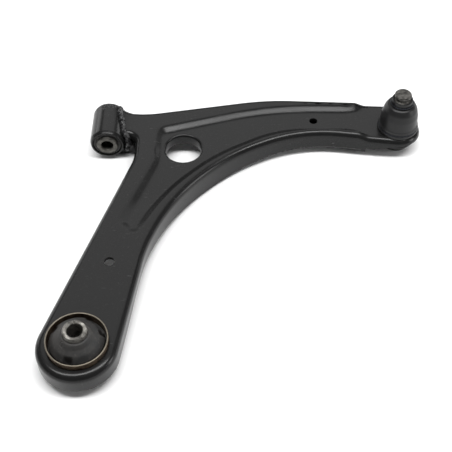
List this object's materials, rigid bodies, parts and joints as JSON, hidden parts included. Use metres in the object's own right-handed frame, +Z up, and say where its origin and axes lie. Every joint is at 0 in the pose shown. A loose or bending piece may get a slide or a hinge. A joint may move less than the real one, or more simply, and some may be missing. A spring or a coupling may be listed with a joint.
{
  "type": "front lower control arm",
  "caption": "Pressed-steel front lower control arm with a horizontal front bush, a vertical rear bush and a ball joint whose booted stud points up.",
  "frame": {"origin": "bottom centre of the bounding box", "axes": "+X outboard towards the ball joint, +Y forward along the front bush axis, +Z up along the ball stud"},
  "size_m": [0.4442, 0.4154, 0.0861],
  "materials": {
    "ecoat": "satin black electrophoretic coat on pressed steel",
    "weld": "black-coated weld bead, glossier than the sheet",
    "rubber": "dark grey moulded natural rubber, slightly dusty",
    "bare_steel": "bare turned steel, lightly oiled",
    "shell_steel": "phosphated steel shell with a brownish film",
    "plastic": "natural acetal",
    "clip_steel": "black spring steel"
  },
  "bodies": {
    "arm": {"arm_pressing": "ecoat", "closing_plate": "ecoat", "closing_plate_weld_rear": "weld", "closing_plate_weld_front": "weld", "front_bush_tube": "ecoat", "front_tube_weld_outside": "weld", "front_tube_weld_inside": "weld", "front_bush_shell": "shell_steel", "front_bush_rubber": "rubber", "rear_bush_collar": "ecoat", "rear_collar_weld": "weld", "rear_bush_shell": "shell_steel", "rear_bush_rubber": "rubber", "ball_joint_collar": "ecoat", "ball_joint_housing": "ecoat", "housing_snap_ring": "clip_steel", "ball_seat": "plastic", "seat_preload_ring": "rubber", "ball_joint_cap": "ecoat", "boot_lower_clip": "clip_steel"},
    "front_pivot_sleeve": {"front_inner_sleeve": "bare_steel"},
    "rear_pivot_sleeve": {"rear_inner_sleeve": "bare_steel"},
    "boot_waist": {"dust_boot": "rubber"},
    "boot_crown": {"boot_upper_clip": "clip_steel"},
    "stud": {"ball_stud": "bare_steel"}
  },
  "joints": [
    {"name": "front_bush_twist", "type": "hinge", "parent": "arm", "child": "front_pivot_sleeve", "pos_m": [-0.17158, 0.15992, 0.026], "axis": [0, 1, 0], "range_deg": [-25, 25], "stiffness_Nm_per_rad": 40},
    {"name": "rear_bush_rock", "type": "hinge", "parent": "arm", "child": "rear_pivot_sleeve", "pos_m": [-0.17748, -0.16378, 0.028], "axis": [0, 1, 0], "range_deg": [-10, 10], "stiffness_Nm_per_rad": 120, "deforming": ["rear_bush_rubber"]},
    {"name": "ball_tilt_x", "type": "hinge", "parent": "arm", "child": "boot_waist", "pos_m": [0.19342, 0.16122, 0.019], "axis": [1, 0, 0], "range_deg": [-18, 18], "deforming": ["dust_boot"]},
    {"name": "ball_tilt_y", "type": "hinge", "parent": "boot_waist", "child": "boot_crown", "pos_m": [0.19342, 0.16122, 0.019], "axis": [0, 1, 0], "range_deg": [-18, 18], "deforming": ["dust_boot"]},
    {"name": "stud_spin", "type": "hinge", "parent": "boot_crown", "child": "stud", "pos_m": [0.19342, 0.16122, 0.019], "axis": [0, 0, 1], "continuous": true}
  ]
}
